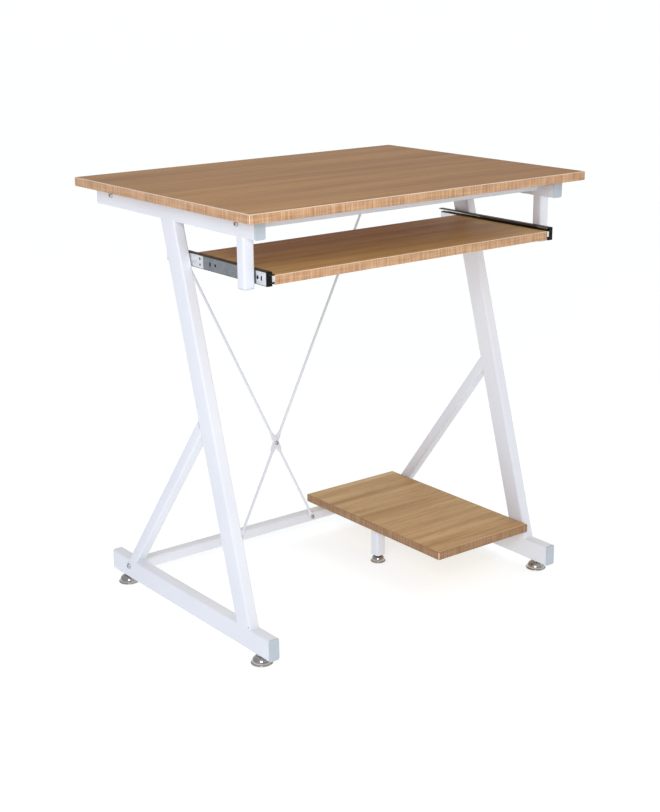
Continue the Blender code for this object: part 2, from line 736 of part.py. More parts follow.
def make_outer_member(side, label):
    top = SLIDE_HEIGHT / 2
    depth = OUTER_DEPTH
    steel = SLIDE_STEEL
    half = [
        (steel, top - steel), (depth - steel, top - steel), (depth - steel, top - steel - OUTER_LIP),
        (depth, top - steel - OUTER_LIP), (depth, top - 0.0008), (depth - 0.0008, top),
        (0.0008, top), (0, top - 0.0008),
    ]
    name = f"slide_outer_{label}"
    member = slide_prism(name, mirrored(half), side, slide_front, SLIDE_LENGTH, "zinc")
    web_x = side * (inner_x - GAP)
    for i, (reach, rise, radius) in enumerate(SLIDE_HOLES):
        y = slide_front + reach
        z = slide_z + rise
        tool = rod_tool(
            f"cut_slide_hole_{label}_{i}", radius,
            (web_x + side * 0.01, y, z), (web_x - side * 0.003, y, z), 16,
        )
        boolean(member, tool)
    for i, reach in enumerate(SLIDE_SLOTS):
        outline = rounded_outline(SLIDE_SLOT_WIDTH, SLIDE_SLOT_LENGTH, SLIDE_SLOT_WIDTH * 0.49)
        start = Vector((web_x - 0.01, slide_front + reach, slide_z))
        tool = prism(f"cut_slide_slot_{label}_{i}", outline, start, BACK, UP, 0.02, None)
        boolean(member, tool)
    return member


def make_inner_member(side, label):
    half = [
        (inner_web_in, inner_half - SLIDE_STEEL), (inner_flange_start, inner_half - SLIDE_STEEL),
        (inner_flange_start, inner_half), (inner_web_out - 0.0008, inner_half),
        (inner_web_out, inner_half - 0.0008),
    ]
    outline = mirrored(half)
    front = slide_front - BUMPER_FRONT
    length = SLIDE_LENGTH - 0.006
    return slide_prism(f"slide_inner_{label}", outline, side, front, length, "zinc")


def make_cage(side, label):
    """Ball retainer: a U of thin steel with two rows of balls seated in its arms."""
    web = SLIDE_STEEL + 0.0006
    arm_out = ball_z + CAGE_STEEL / 2
    arm_in = ball_z - CAGE_STEEL / 2
    reach = ball_depth + 0.0026
    half = [(web + CAGE_STEEL, arm_in), (reach, arm_in), (reach, arm_out), (web, arm_out)]
    outline = mirrored(half)
    front = slide_front + BUMPER_INSERT + CAGE_CLEAR_OF_BUMPER + TRAY_TRAVEL / 2
    cage = slide_prism(f"ball_cage_{label}", outline, side, front, CAGE_LENGTH, "zinc")
    pitch = CAGE_LENGTH / BALLS_PER_ROW
    x = side * (inner_x - GAP - ball_depth)
    for i in range(BALLS_PER_ROW):
        for row in (-1, 1):
            bm = bmesh.new()
            place = Matrix.Translation((x, front + pitch * (i + 0.5), slide_z + row * ball_z))
            bmesh.ops.create_icosphere(bm, subdivisions=1, radius=BALL_RADIUS, matrix=place)
            ball = piece(f"ball_{label}_{i}_{row}", bm, None)
            boolean(cage, ball, "UNION")
    return cage


def make_bumper(side, label):
    """Plastic stop in the mouth of the outer member, with two fingers that steady the inner one."""
    clear = 0.0004
    finger_top = inner_half - SLIDE_STEEL - clear
    reach = inner_web_in - clear
    throat = inner_flange_start - clear
    root = OUTER_DEPTH - 0.002
    top = SLIDE_HEIGHT / 2
    half = [
        (root, finger_top - BUMPER_FINGER), (reach, finger_top - BUMPER_FINGER),
        (reach, finger_top), (throat, finger_top), (throat, inner_half + clear),
        (root, inner_half + clear), (root, top), (0, top),
    ]
    plate = slide_prism(
        f"slide_bumper_{label}", mirrored(half), side, slide_front - BUMPER_FRONT,
        BUMPER_FRONT - GAP, "black_plastic",
    )
    plug_top = finger_top
    plug_in = SLIDE_STEEL + GAP
    plug_half = [(root - 0.001, plug_top - BUMPER_FINGER), (root - 0.001, plug_top), (plug_in, plug_top)]
    plug = slide_prism(
        f"plug_{label}", mirrored(plug_half), side, slide_front - BUMPER_FRONT / 2,
        BUMPER_FRONT / 2 + BUMPER_INSERT, None,
    )
    return boolean(plate, plug, "UNION")


# ---- the desk ----------------------------------------------------------------------------

make_boards()
for frame_side, frame_label in ((-1, "left"), (1, "right")):
    make_foot_rail(frame_side, frame_label)
    make_top_rail(frame_side, frame_label)
    make_leg_and_brace(frame_side, frame_label)
    make_slide_post(frame_side, frame_label)
    make_outer_member(frame_side, frame_label)
    make_inner_member(frame_side, frame_label)
    make_cage(frame_side, frame_label)
    make_bumper(frame_side, frame_label)
lower_crossbar = crossbar("lower_crossbar", low_bar_y, low_bar_z)
crossbar("top_crossbar_front", -top_bar_y, top_bar_z)
rear_crossbar = crossbar("top_crossbar_rear", top_bar_y, top_bar_z)
make_frame_bolts()
make_rods(lower_crossbar, rear_crossbar)
make_glides()
make_shelf_supports(lower_crossbar)
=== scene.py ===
"""How the computer desk looks: its boards, tubes, caps, fasteners, slides and feet."""

import math

import bmesh
import bpy
import numpy as np
from mathutils import Matrix, Vector


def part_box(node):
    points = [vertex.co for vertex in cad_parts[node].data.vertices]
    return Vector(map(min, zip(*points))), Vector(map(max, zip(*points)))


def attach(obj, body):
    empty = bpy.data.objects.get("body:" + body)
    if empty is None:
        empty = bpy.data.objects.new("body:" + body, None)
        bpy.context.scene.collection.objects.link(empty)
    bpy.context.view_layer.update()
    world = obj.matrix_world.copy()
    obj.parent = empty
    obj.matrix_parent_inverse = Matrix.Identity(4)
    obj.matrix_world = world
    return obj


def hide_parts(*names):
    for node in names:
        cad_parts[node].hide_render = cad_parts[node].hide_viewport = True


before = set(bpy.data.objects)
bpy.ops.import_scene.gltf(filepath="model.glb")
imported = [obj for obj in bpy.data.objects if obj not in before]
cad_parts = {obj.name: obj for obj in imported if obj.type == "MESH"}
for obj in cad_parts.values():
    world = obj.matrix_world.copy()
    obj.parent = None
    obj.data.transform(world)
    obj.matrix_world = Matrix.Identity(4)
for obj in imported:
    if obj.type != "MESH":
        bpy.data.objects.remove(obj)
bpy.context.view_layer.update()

# ---- Camera ------------------------------------------------------------------------------
# A short telephoto lens at sitting height, in front of the desk and to its left, tilted down.

LENS_LENGTH = 65.16
CAMERA_PLACE = Vector((-1.5415, -1.9984, 1.0829))
CAMERA_AIM = Vector((-0.0057, 0.0, 0.3266))
CAMERA_ROLL = -0.0099

forward = (CAMERA_AIM - CAMERA_PLACE).normalized()
level = forward.cross(Vector((0, 0, 1))).normalized()
above = level.cross(forward)
camera_x = level * math.cos(CAMERA_ROLL) + above * math.sin(CAMERA_ROLL)
camera_y = above * math.cos(CAMERA_ROLL) - level * math.sin(CAMERA_ROLL)
camera = bpy.data.objects.new("camera", bpy.data.cameras.new("camera"))
camera.data.lens = LENS_LENGTH
camera.data.clip_end = 200
turn = Matrix((camera_x, camera_y, -forward)).transposed().to_4x4()
camera.matrix_world = Matrix.Translation(CAMERA_PLACE) @ turn
bpy.context.scene.collection.objects.link(camera)
bpy.context.scene.camera = camera
bpy.context.scene.view_settings.view_transform = "Standard"

# ---- Studio ------------------------------------------------------------------------------
# A pale glowing floor that runs out of sight, as on a light table, and an even sky. A soft
# lamp stands close at the front left, and two wide, weak ones shine from the right and behind.

FLOOR_REACH = 60.0
FLOOR_DROP = 0.0004  # under the feet
FLOOR_COLOUR = (0.50, 0.51, 0.52)
FLOOR_GLOW = (0.62, 0.64, 0.64)  # light that it gives off itself
SKY = (0.55, 0.545, 0.62)
KEY_PLACE = Vector((-1.5, -1.6, 1.3))
KEY_AIM = Vector((-0.3, -0.2, 0.6))
KEY_SIZE = 0.9
KEY_POWER = 20.8  # watts
KEY_SPREAD = 180  # degrees
WIDE_LAMPS = (  # name, direction to the lamp, strength, colour
    ("right_lamp", (0.587, -0.492, 0.643), 0.46, (1.0, 0.89, 0.50)),
    ("rear_lamp", (0.354, 0.612, 0.707), 0.40, (0.92, 1.0, 0.64)),
)
WIDE_SOFTNESS = 50  # degrees across


def new_material(name, roughness, metallic=0.0, specular=0.5):
    """(material, node tree, shader): a principled material to add its pattern to."""
    material = bpy.data.materials.new(name)
    material.use_nodes = True
    shader = material.node_tree.nodes["Principled BSDF"]
    shader.inputs["Roughness"].default_value = roughness
    shader.inputs["Metallic"].default_value = metallic
    shader.inputs["Specular IOR Level"].default_value = specular
    return material, material.node_tree, shader


def mesh_object(name, points, faces, materials, finishes=None, sharp=30):
    """Object from points and faces: doubles merged, faces out, smooth up to the sharp angle."""
    mesh = bpy.data.meshes.new(name)
    mesh.from_pydata(np.asarray(points).reshape(-1, 3).tolist(), [], [list(f) for f in faces])
    for material in materials:
        mesh.materials.append(material)
    if finishes is not None:
        mesh.polygons.foreach_set("material_index", np.asarray(finishes, np.int32))
    made = bpy.data.objects.new(name, mesh)
    bpy.context.scene.collection.objects.link(made)
    tidy = bmesh.new()
    tidy.from_mesh(mesh)
    bmesh.ops.remove_doubles(tidy, verts=tidy.verts, dist=1e-6)
    bmesh.ops.dissolve_degenerate(tidy, edges=tidy.edges, dist=1e-7)
    bmesh.ops.recalc_face_normals(tidy, faces=tidy.faces)
    tidy.to_mesh(mesh)
    tidy.free()
    mesh.shade_smooth()
    mesh.set_sharp_from_angle(angle=math.radians(sharp))
    return made


floor_material, tree, shader = new_material("pale_floor", 0.9, 0.0, 0.1)
shader.inputs["Base Color"].default_value = (*FLOOR_COLOUR, 1)
shader.inputs["Emission Color"].default_value = (*FLOOR_GLOW, 1)
shader.inputs["Emission Strength"].default_value = 1.0
r = FLOOR_REACH
floor_points = [(-r, -r, -FLOOR_DROP), (r, -r, -FLOOR_DROP), (r, r, -FLOOR_DROP), (-r, r, -FLOOR_DROP)]
floor = mesh_object("floor", floor_points, [(0, 1, 2, 3)], [floor_material])

world = bpy.data.worlds.new("even_sky")
world.use_nodes = True
world.node_tree.nodes["Background"].inputs["Color"].default_value = (*SKY, 1)
world.node_tree.nodes["Background"].inputs["Strength"].default_value = 1.0
bpy.context.scene.world = world


def add_lamp(name, kind, direction, energy, place=(0, 0, 3)):
    """A lamp of that kind that shines against a direction, from a place."""
    lamp = bpy.data.objects.new(name, bpy.data.lights.new(name, kind))
    lamp.location = place
    lamp.rotation_euler = Vector(direction).to_track_quat("Z", "Y").to_euler()
    lamp.data.energy = energy
    bpy.context.scene.collection.objects.link(lamp)
    return lamp.data


key = add_lamp("near_lamp", "AREA", KEY_PLACE - KEY_AIM, KEY_POWER, KEY_PLACE)
key.size = KEY_SIZE
key.spread = math.radians(KEY_SPREAD)
for name, direction, energy, colour in WIDE_LAMPS:
    wide = add_lamp(name, "SUN", direction, energy)
    wide.angle = math.radians(WIDE_SOFTNESS)
    wide.color = colour

# ---- Frame tubes -------------------------------------------------------------------------
# Thin-walled steel tube with rolled corners, cut, welded into two Z-shaped sides and coated
# with white powder, which has a very fine orange peel and pools slightly in tone.

TUBE_WALL = 0.0012
TUBE_CORNER = 0.0034
LEG_DEPTH = 0.038
LEG_LEAN = math.radians(16.14)
BRACE_DEPTH = 0.020
BRACE_LEAN = math.radians(37.7)
SEAT = 0.0028  # how far a welded end reaches into its neighbour's rounded corner
CLEARANCE = 0.0003  # between two pieces that touch
X, Y, Z = np.eye(3)


def node(tree, kind, inputs, **settings):
    """A shader node; inputs maps a socket to a value or to another node's output."""
    made = tree.nodes.new("ShaderNode" + kind)
    for name, value in settings.items():
        setattr(made, name, value)
    for key, value in inputs.items():
        if isinstance(value, bpy.types.NodeSocket):
            tree.links.new(value, made.inputs[key])
        else:
            made.inputs[key].default_value = value
    return made


def pattern(tree, scale, detail=2.0, roughness=0.5):
    """Noise on the piece's own coordinates, stretched by a scale for each axis, per metre."""
    place = node(tree, "TexCoord", {}).outputs["Object"]
    stretched = node(tree, "Mapping", {"Vector": place, "Scale": scale}).outputs["Vector"]
    settings = {"Vector": stretched, "Scale": 1.0, "Detail": detail, "Roughness": roughness}
    return node(tree, "TexNoise", settings).outputs["Fac"]


def ramp(tree, factor, *stops):
    """Colours or greys at positions along a factor."""
    made = node(tree, "ValToRGB", {"Fac": factor})
    elements = made.color_ramp.elements
    while len(elements) < len(stops):
        elements.new(0.5)
    for element, (position, colour) in zip(elements, stops):
        element.position = position
        grey = (colour, colour, colour) if isinstance(colour, float) else colour
        element.color = (*grey, 1.0)
    return made.outputs["Color"]


def raise_surface(tree, shader, height, distance, strength=1.0):
    """Bump of a height pattern, in metres of depth."""
    bump = node(tree, "Bump", {"Height": height, "Distance": distance, "Strength": strength})
    tree.links.new(bump.outputs["Normal"], shader.inputs["Normal"])


def make_powder_coat():
    """Blue-white powder with a slow drift in tone and a fine orange peel."""
    material, tree, shader = new_material("white_powder_coat", 0.4)
    drift = pattern(tree, (7, 7, 7), 2)
    colour = ramp(tree, drift, (0.3, (0.73, 0.755, 0.815)), (0.7, (0.77, 0.795, 0.845)))
    tree.links.new(colour, shader.inputs["Base Color"])
    peel = pattern(tree, (650, 650, 650), 1)
    tree.links.new(ramp(tree, peel, (0.3, 0.34), (0.7, 0.46)), shader.inputs["Roughness"])
    raise_surface(tree, shader, peel, 0.00012)
    return material


powder_coat = make_powder_coat()


def corners_of(name):
    """Lowest and highest corner of a CAD node, as arrays."""
    low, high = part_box(name)
    return np.array(low), np.array(high)


def grid_faces(rows, columns, close_rows=False, close_columns=True):
    """Quads that join each point of a rows by columns grid to its neighbours, wrapped or not."""
    i = np.arange(rows if close_rows else rows - 1)[:, None]
    j = np.arange(columns if close_columns else columns - 1)[None, :]
    next_i = (i + 1) % rows
    next_j = (j + 1) % columns
    corners = (i * columns + j, i * columns + next_j, next_i * columns + next_j, next_i * columns + j)
    return np.stack(np.broadcast_arrays(*corners), -1).reshape(-1, 4)


def closed_faces(rings, first=0):
    """Quads along a stack of rings, and one face at each end of it."""
    rows, columns = rings.shape[:2]
    ring = np.arange(columns) + first
    ends = [list(ring), list(ring + (rows - 1) * columns)]
    return [*(grid_faces(rows, columns) + first), *ends]


def rounded_rectangle(width, height, radius, steps=6):
    """Corner centre plus radius times (cos a, sin a), a quarter turn at each corner."""
    angle = np.radians(90 * np.arange(4)[:, None] + np.linspace(0, 90, steps + 1)[None, :])
    x = np.array([1, -1, -1, 1])[:, None] * (width / 2 - radius) + radius * np.cos(angle)
    y = np.array([1, 1, -1, -1])[:, None] * (height / 2 - radius) + radius * np.sin(angle)
    return np.stack([x, y], -1).reshape(-1, 2)


def tube_rings(size, centre, across, along, start, end):
    """Rounded rectangle carried along a line to a plane at each end, outside then back inside.

    A point is foot + along * reach, where reach brings it onto the plane (point, normal).
    """
    other = np.cross(along, across)
    rings = []
    for shrink, (point, normal) in ((0, start), (0, end), (TUBE_WALL, end), (TUBE_WALL, start)):
        outline = rounded_rectangle(
            size[0] - 2 * shrink, size[1] - 2 * shrink, TUBE_CORNER - shrink
        )
        foot = centre + outline[:, :1] * across + outline[:, 1:] * other
        reach = (np.asarray(point) - foot) @ normal / (along @ normal)
        rings.append(foot + reach[:, None] * along)
    return np.array(rings)


def add_piece(body, nodes, made):
    """Hands a finished piece to its body, in place of the CAD nodes it stands for."""
    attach(made, body)
    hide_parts(*nodes)
    return made


def add_tube(node_name, size, centre, across, along, start, end):
    """An open tube between two planes, in place of its CAD node."""
    rings = tube_rings(size, centre, across, along, start, end)
    faces = grid_faces(4, rings.shape[1], close_rows=True)
    made = mesh_object("coated_" + node_name, rings, faces, [powder_coat])
    return add_piece("frame", [node_name], made)


def add_level_tube(node_name, axis):
    """A straight tube along one axis that fills its CAD box."""
    low, high = corners_of(node_name)
    along = np.eye(3)[axis]
    across = Y if axis == 0 else X
    other = np.cross(along, across)
    size = (abs((high - low) @ across), abs((high - low) @ other))
    return add_tube(node_name, size, (low + high) / 2, across, along, (low, along), (high, along))


leg_along = np.array([0, math.sin(LEG_LEAN), math.cos(LEG_LEAN)])
leg_normal = np.array([0, math.cos(LEG_LEAN), -math.sin(LEG_LEAN)])
brace_along = np.array([0, -math.sin(BRACE_LEAN), math.cos(BRACE_LEAN)])
brace_normal = np.array([0, math.cos(BRACE_LEAN), math.sin(BRACE_LEAN)])
leg_joints = {}

for side in ("left", "right"):
    add_level_tube(f"foot_rail_{side}", 1)
    add_level_tube(f"top_rail_{side}", 1)
    foot_top = corners_of(f"foot_rail_{side}")[1][2]
    rail_low = corners_of(f"top_rail_{side}")[0][2]
    floor_cut = ((0, 0, foot_top - SEAT), Z)
    ceiling_cut = ((0, 0, rail_low + SEAT), Z)

    low, high = corners_of(f"main_leg_{side}")
    middle_x = (low[0] + high[0]) / 2
    width = high[0] - low[0]
    run = LEG_DEPTH / math.cos(LEG_LEAN)
    leg_foot = np.array([middle_x, low[1] + run / 2, foot_top])
    size = (width, LEG_DEPTH)
    add_tube(f"main_leg_{side}", size, leg_foot, X, leg_along, floor_cut, ceiling_cut)

    brace_rear = corners_of(f"rear_brace_{side}")[1][1]
    brace_run = BRACE_DEPTH / math.cos(BRACE_LEAN)
    brace_foot = np.array([middle_x, brace_rear - brace_run / 2, foot_top])
    leg_rear = leg_foot + leg_normal * LEG_DEPTH / 2
    rear_cut = (leg_rear - leg_normal * SEAT, leg_normal)
    size = (width, BRACE_DEPTH)
    add_tube(f"rear_brace_{side}", size, brace_foot, X, brace_along, floor_cut, rear_cut)

    low, high = corners_of(f"slide_post_{side}")
    centre = (low + high) / 2
    add_tube(f"slide_post_{side}", (width, high[1] - low[1]), centre, X, Z, (low, Z), ceiling_cut)
    leg_joints[side] = (leg_foot, brace_foot, leg_rear, rail_low, foot_top, width)

for bar in ("lower_crossbar", "top_crossbar_front", "top_crossbar_rear", "shelf_support_rail"):
    add_level_tube(bar, 0)
add_level_tube("shelf_leg", 2)

# ---- Weld beads --------------------------------------------------------------------------
# Small fillet welds along the front and rear of each joint in the two sides, rippled as they
# were laid and coated over with the frame.

BEAD_RADIUS = 0.0016
BEAD_RIPPLE = 0.0024
BEAD_FADE = 0.0015  # over which a bead runs out
BEAD_MARGIN = 0.0022  # bare tube at each end of a bead


def bead_rings(start, end, first, second):
    """Corner + radius * (first cos^1.2 a + second sin^1.2 a), the radius rippled along the joint.

    The radius is r (1 + 0.1 |sin(pi s / ripple)|), and falls almost to nothing at both ends.
    """
    length = np.linalg.norm(end - start)
    s = np.linspace(0, length, 48)
    a = np.radians(np.linspace(0, 90, 7))
    fade = np.clip(np.minimum(s, length - s) / BEAD_FADE, 0.02, 1) ** 0.5
    radius = BEAD_RADIUS * fade * (1 + 0.10 * np.abs(np.sin(np.pi * s / BEAD_RIPPLE)))
    spread = np.cos(a)[:, None] ** 1.2 * first + np.sin(a)[:, None] ** 1.2 * second
    corner = start + (end - start) * (s / length)[:, None]
    arc = corner[:, None] + radius[:, None, None] * spread[None]
    return np.concatenate([corner[:, None], arc], 1)


def meet(point, direction, plane_point, plane_normal):
    """Where a line meets a plane."""
    reach = (plane_point - point) @ plane_normal / (direction @ plane_normal)
    return point + direction * reach


brace_tips = {}
for side in ("left", "right"):
    leg_foot, brace_foot, leg_rear, rail_low, foot_top, width = leg_joints[side]
    leg_top = leg_foot + leg_along * (rail_low - foot_top) / leg_along[2]
    half_leg = LEG_DEPTH / 2 / math.cos(LEG_LEAN)
    half_brace = BRACE_DEPTH / 2 / math.cos(BRACE_LEAN)
    upper = meet(brace_foot + brace_normal * BRACE_DEPTH / 2, brace_along, leg_rear, leg_normal)
    brace_tips[side] = upper
    lower = meet(brace_foot - brace_normal * BRACE_DEPTH / 2, brace_along, leg_rear, leg_normal)
    low, high = corners_of(f"slide_post_{side}")
    post_top = np.array([leg_foot[0], (low[1] + high[1]) / 2, rail_low])
    half_post = (high[1] - low[1]) / 2
    joints = (
        (leg_foot - Y * half_leg, -Y, leg_along), (leg_foot + Y * half_leg, Y, leg_along),
        (leg_top - Y * half_leg, -Y, -leg_along), (leg_top + Y * half_leg, Y, -leg_along),
        (brace_foot - Y * half_brace, -Y, brace_along), (brace_foot + Y * half_brace, Y, brace_along),
        (upper, leg_along, -brace_along), (lower, -leg_along, -brace_along),
        (post_top - Y * half_post, -Y, -Z), (post_top + Y * half_post, Y, -Z),
    )
    beads = []
    faces = []
    reach = X * (width / 2 - BEAD_MARGIN)
    for corner, one_way, other_way in joints:
        rings = bead_rings(corner - reach, corner + reach, one_way, other_way)
        first = len(beads) * rings.shape[0] * rings.shape[1]
        faces += closed_faces(rings, first)
        beads.append(rings)
    made = mesh_object(f"weld_beads_{side}", np.array(beads), faces, [powder_coat], sharp=60)
    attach(made, "frame")

# ---- Pits and open joints ----------------------------------------------------------------
# A vent pit at each leg's toe, and the short slit left where each mitred brace meets its leg,
# are drawn as near-black marks on the frames' outer faces, as painted shadow of the openings.

PIT_RADIUS = 0.0009
PIT_SETBACK = 0.0035  # behind the front of the leg
PIT_RISE = 0.002  # above the foot rail
SLIT_HALF = (0.0064, 0.00045)  # half length, half width
SLIT_DROP = 0.0095  # below the brace's upper edge, along the leg
MARK_SUNK = 0.0003
MARK_PROUD = 0.00004


def make_pit_shadow():
    """Near-black, as painted shadow, with a trace of tone."""
    material, tree, shader = new_material("pit_shadow", 0.9, 0.0, 0.1)
    # speckle of the painted shadow's colour and bump
    shadow_speckle = pattern(tree, (900, 900, 900), 3)
    colour = ramp(tree, shadow_speckle, (0.3, (0.012, 0.013, 0.015)), (0.7, (0.05, 0.052, 0.06)))
    tree.links.new(colour, shader.inputs["Base Color"])
    raise_surface(tree, shader, shadow_speckle, 0.0001)
    return material


pit_shadow = make_pit_shadow()


def add_mark(name, centre, outward, along, half_length, half_width):
    """Ellipse (a cos t, b sin t) on a face, sunk at its rear and crowned at its front."""
    angle = np.linspace(0, 2 * np.pi, 24, endpoint=False)
    other = np.cross(outward, along)
    outline = half_length * np.cos(angle)[:, None] * along + half_width * np.sin(angle)[:, None] * other
    rows = ((1.0, -MARK_SUNK), (1.0, 0.0), (0.7, 0.8 * MARK_PROUD), (0.2, MARK_PROUD))
    rings = np.array([centre + scale * outline + rise * outward for scale, rise in rows])
    made = mesh_object(name, rings, closed_faces(rings), [pit_shadow])
    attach(made, "frame")


for side, outward in (("left", -X), ("right", X)):
    leg_foot, width = leg_joints[side][0], leg_joints[side][-1]
    face = leg_foot + outward * width / 2
    toe = face - Y * (LEG_DEPTH / 2 / math.cos(LEG_LEAN) - PIT_SETBACK) + Z * PIT_RISE
    add_mark(f"toe_pit_{side}", toe, outward, leg_along, PIT_RADIUS, PIT_RADIUS)
    slit = brace_tips[side] + outward * width / 2 - leg_along * SLIT_DROP
    add_mark(f"brace_slit_{side}", slit, outward, leg_along, *SLIT_HALF)

# ---- End caps ----------------------------------------------------------------------------
# Moulded plastic caps pushed into the open tube ends, with softly rounded rims and a fine
# shadow gap behind them. The rails' caps are a darker, bluer copy of the cap plastic, as painted
# shade; the posts' caps, which close their lower ends, are white.

CAP_ROUND = 0.0016
CAP_RIM = 0.0003  # chamfer at the back of the cap
CAP_NECK = 0.0013  # the neck stands this far inside the tube's outer face
CAP_NECK_REACH = 0.001  # into the tube
CAP_GAP = 0.0005
CAP_FACE_INSETS = (0.004, 0.0098)  # of the two rings that close the face


def make_cap_plastic(name, low_tone, high_tone):
    """Fine-grained plastic that drifts between two tones."""
    material, tree, shader = new_material(name, 0.5)
    drift = pattern(tree, (40, 40, 40), 2)
    tree.links.new(ramp(tree, drift, (0.3, low_tone), (0.7, high_tone)), shader.inputs["Base Color"])
    grain = pattern(tree, (1800, 1800, 1800), 1)
    tree.links.new(ramp(tree, grain, (0.3, 0.42), (0.7, 0.55)), shader.inputs["Roughness"])
    raise_surface(tree, shader, grain, 0.00006)
    return material


# the rails' caps: a darker, bluer copy of the white cap plastic, as painted shade
shaded_rail_caps = make_cap_plastic("painted_shade_cap_plastic", (0.43, 0.49, 0.54), (0.47, 0.53, 0.58))
post_cap_plastic = make_cap_plastic("white_cap_plastic", (0.70, 0.72, 0.77), (0.74, 0.76, 0.81))


def cap_rings(base, outward, across, size, thickness):
    """A neck, then an outline drawn in by R (1 - cos a) as it rises by R sin a, then the face."""
    a = np.radians(np.linspace(0, 90, 8))
    arc_in = CAP_ROUND * (1 - np.cos(a))
    arc_up = thickness - CAP_ROUND * (1 - np.sin(a))
    neck = [-CAP_NECK_REACH, CAP_GAP, CAP_GAP, CAP_GAP + CAP_RIM]
    insets = np.concatenate([[CAP_NECK, CAP_NECK, CAP_RIM, 0], arc_in, CAP_FACE_INSETS])
    rises = np.concatenate([neck, arc_up, [thickness] * len(CAP_FACE_INSETS)])
    other = np.cross(outward, across)
    rings = []
    for inset, rise in zip(insets, rises):
        outline = rounded_rectangle(
            size[0] - 2 * inset, size[1] - 2 * inset, max(TUBE_CORNER - inset, 0.00005)
        )
        rings.append(base + outline[:, :1] * across + outline[:, 1:] * other + outward * rise)
    return np.array(rings)


def add_cap(cap, tube, outward, plastic):
    """A cap on a tube's end, in place of its CAD node."""
    low, high = corners_of(cap)
    tube_low, tube_high = corners_of(tube)
    axis = int(np.abs(outward).argmax())
    forward_end = outward.sum() > 0
    base = (low + high) / 2
    base[axis] = tube_high[axis] if forward_end else tube_low[axis]
    outer = high[axis] if forward_end else low[axis]
    sizes = np.delete(high - low, axis)
    rings = cap_rings(base, outward, X, (sizes[0], sizes[1]), abs(outer - base[axis]))
    made = mesh_object("moulded_" + cap, rings, closed_faces(rings), [plastic], sharp=40)
    add_piece("frame", [cap], made)


for side in ("left", "right"):
    for end, outward in (("front", -Y), ("rear", Y)):
        add_cap(f"foot_cap_{end}_{side}", f"foot_rail_{side}", outward, shaded_rail_caps)
        add_cap(f"top_cap_{end}_{side}", f"top_rail_{side}", outward, shaded_rail_caps)
    add_cap(f"post_cap_{side}", f"slide_post_{side}", -Z, post_cap_plastic)

# ---- Bolts -------------------------------------------------------------------------------
# Zinc-plated button-head bolts with hexagon sockets hold the crossbars to the sides, and
# smaller ones hold the crossed rods.

FRAME_BOLT = (0.0026, 0.003)  # height of the head, radius of the shank
ROD_BOLT = (0.0022, 0.002)
SOCKET_SHARE = 0.44  # of the head's radius
SOCKET_DEPTH_SHARE = 0.62  # of the head's height


def make_bolt_steel():
    """Plated steel, faintly stained and scuffed round the head."""
    material, tree, shader = new_material("bolt_steel", 0.32, 1.0)
    stain = pattern(tree, (320, 320, 320), 3)
    colour = ramp(tree, stain, (0.3, (0.40, 0.41, 0.43)), (0.7, (0.60, 0.61, 0.63)))
    tree.links.new(colour, shader.inputs["Base Color"])
    scuff = pattern(tree, (2500, 2500, 500), 2)
    tree.links.new(ramp(tree, scuff, (0.3, 0.24), (0.7, 0.44)), shader.inputs["Roughness"])
    raise_surface(tree, shader, scuff, 0.00004)
    return material


bolt_steel = make_bolt_steel()


def turned_rings(radii, heights, origin, axis, steps, six_sided=()):
    """Radius r(t) at height z(t) turned about an axis; a six-sided row is r cos 30 / cos a."""
    angle = np.linspace(0, 2 * np.pi, steps, endpoint=False)
    around = np.tile(np.asarray(radii, float)[:, None], (1, steps))
    flat = np.cos(np.pi / 6) / np.cos((angle + np.pi / 6) % (np.pi / 3) - np.pi / 6)
    for row in six_sided:
        around[row] *= flat
    first = np.cross(axis, X if abs(axis[0]) < 0.5 else Y)
    second = np.cross(axis, first)
    circle = np.cos(angle)[:, None] * first + np.sin(angle)[:, None] * second
    rise = np.asarray(heights, float)[:, None, None] * axis
    return origin + around[..., None] * circle[None] + rise


def add_turned(name, body, replaced, rings, material, sharp=35):
    """A turned piece whose first and last rows lie on the axis."""
    faces = grid_faces(*rings.shape[:2])
    made = mesh_object(name, rings, faces, [material], sharp=sharp)
    add_piece(body, replaced, made)


def add_bolt(bolt, axis_number, outward, head_height, shank_radius):
    """A domed head, r cos^0.9 a wide and h sin a high, over a plain shank."""
    low, high = corners_of(bolt)
    axis = np.eye(3)[axis_number] * outward
    origin = (low + high) / 2
    tip = high[axis_number] if outward > 0 else low[axis_number]
    tail = low[axis_number] if outward > 0 else high[axis_number]
    origin[axis_number] = tip - outward * head_height
    radius = np.delete(high - low, axis_number).max() / 2
    dome = np.radians(np.linspace(0, 58, 7))
    length = abs(origin[axis_number] - tail)
    lip = 0.2 * head_height
    radii = [0, shank_radius, shank_radius, radius * 0.98, *(radius * np.cos(dome) ** 0.9)]
    heights = [-length, -length, 0, 0, *(lip + (head_height - lip) * np.sin(dome) / np.sin(dome[-1]))]
    socket = radius * SOCKET_SHARE
    rows = len(radii)
    radii += [socket * 1.04, socket, socket, 0]
    depth = head_height * SOCKET_DEPTH_SHARE
    heights += [head_height, head_height - 0.0001, head_height - depth, head_height - depth * 1.15]
    rings = turned_rings(radii, heights, origin, axis, 36, range(rows, rows + 3))
    add_turned("steel_" + bolt, "frame", [bolt], rings, bolt_steel)


for side, outward in (("left", -1), ("right", 1)):
    for bolt in ("foot_bolt", "top_bolt_front", "top_bolt_rear"):
        add_bolt(f"{bolt}_{side}", 0, outward, *FRAME_BOLT)
add_bolt("shelf_bracket_bolt", 0, -1, *FRAME_BOLT)
for place in ("foot_rising_left", "foot_rising_right", "top_rising_left", "top_rising_right"):
    add_bolt(f"rod_bolt_{place}", 1, -1, *ROD_BOLT)
add_bolt("brace_centre_rivet", 1, -1, *ROD_BOLT)

# ---- Crossed rods ------------------------------------------------------------------------
# Two thin steel rods brace the back. Each is pressed flat at its ends, and where the two
# cross, for the screws that hold them, and is coated like the frame.

